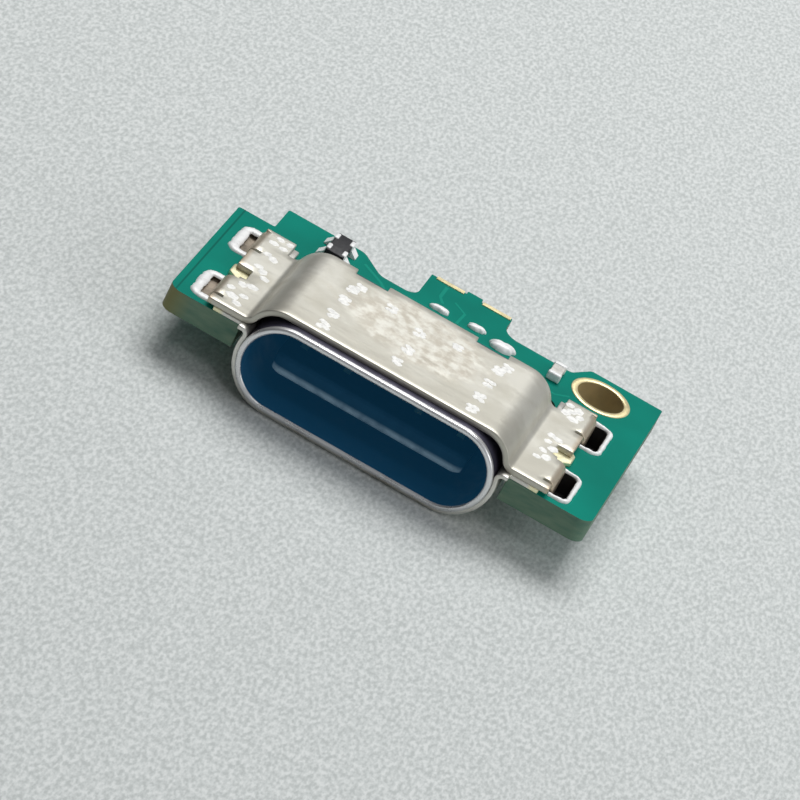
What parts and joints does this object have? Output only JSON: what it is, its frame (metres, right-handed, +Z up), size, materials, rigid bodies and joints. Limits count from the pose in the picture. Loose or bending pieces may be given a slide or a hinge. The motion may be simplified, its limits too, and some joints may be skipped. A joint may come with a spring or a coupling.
{
  "type": "usb-c socket",
  "caption": "Plug socket mid mounted in a small circuit board, with a drawn tube, welded sheet cover, soldered legs and a blue tongue.",
  "frame": {"origin": "centre of the plug opening, in the plane of the tube's front edge", "axes": "+X along the board to the right seen from the opening, +Y into the socket, +Z up, away from the board's plain side"},
  "size_m": [0.0148, 0.01, 0.0033],
  "materials": {
    "tinned_steel": "stamped sheet, satin with fine scratches",
    "shell_steel": "drawn tube, dark blue lacquer inside",
    "board_green": "green solder mask over glass laminate",
    "gold": "thin gold plating",
    "solder": "bright solder",
    "blue_moulding": "dark blue moulding",
    "contact_gold": "gold plated spring sheet",
    "chip_black": "black moulded chip",
    "ceramic_tan": "fired ceramic"
  },
  "bodies": {
    "root": {"circuit_board": "board_green", "screw_hole_plating": "gold", "inner_shell": "shell_steel", "top_cover": "tinned_steel", "lower_cradle": "tinned_steel", "mid_plate": "tinned_steel", "insulator": "blue_moulding", "tail_solder": "solder", "chip_body": "chip_black", "chip_solder": "solder", "capacitor_body": "ceramic_tan", "capacitor_terminal_front": "solder", "capacitor_terminal_rear": "solder", "edge_pad_left": "gold", "edge_pad_right": "gold", "upper_ground_plate": "tinned_steel", "upper_contact_1": "contact_gold", "upper_contact_2": "contact_gold", "upper_contact_3": "contact_gold", "upper_contact_4": "contact_gold", "upper_contact_5": "contact_gold", "upper_contact_6": "contact_gold", "upper_contact_7": "contact_gold", "upper_contact_8": "contact_gold", "lower_ground_plate": "tinned_steel", "lower_contact_1": "contact_gold", "lower_contact_2": "contact_gold", "lower_contact_3": "contact_gold", "lower_contact_4": "contact_gold", "lower_contact_5": "contact_gold", "lower_contact_6": "contact_gold", "lower_contact_7": "contact_gold", "lower_contact_8": "contact_gold", "chip_terminal_1": "solder", "chip_terminal_2": "solder", "chip_terminal_3": "solder", "chip_terminal_4": "solder", "rear_solder_1": "solder", "rear_solder_2": "solder", "rear_solder_3": "solder", "leg_solder_front_left": "solder", "leg_solder_front_right": "solder", "leg_solder_rear_left": "solder", "leg_solder_rear_right": "solder"}
  },
  "joints": []
}
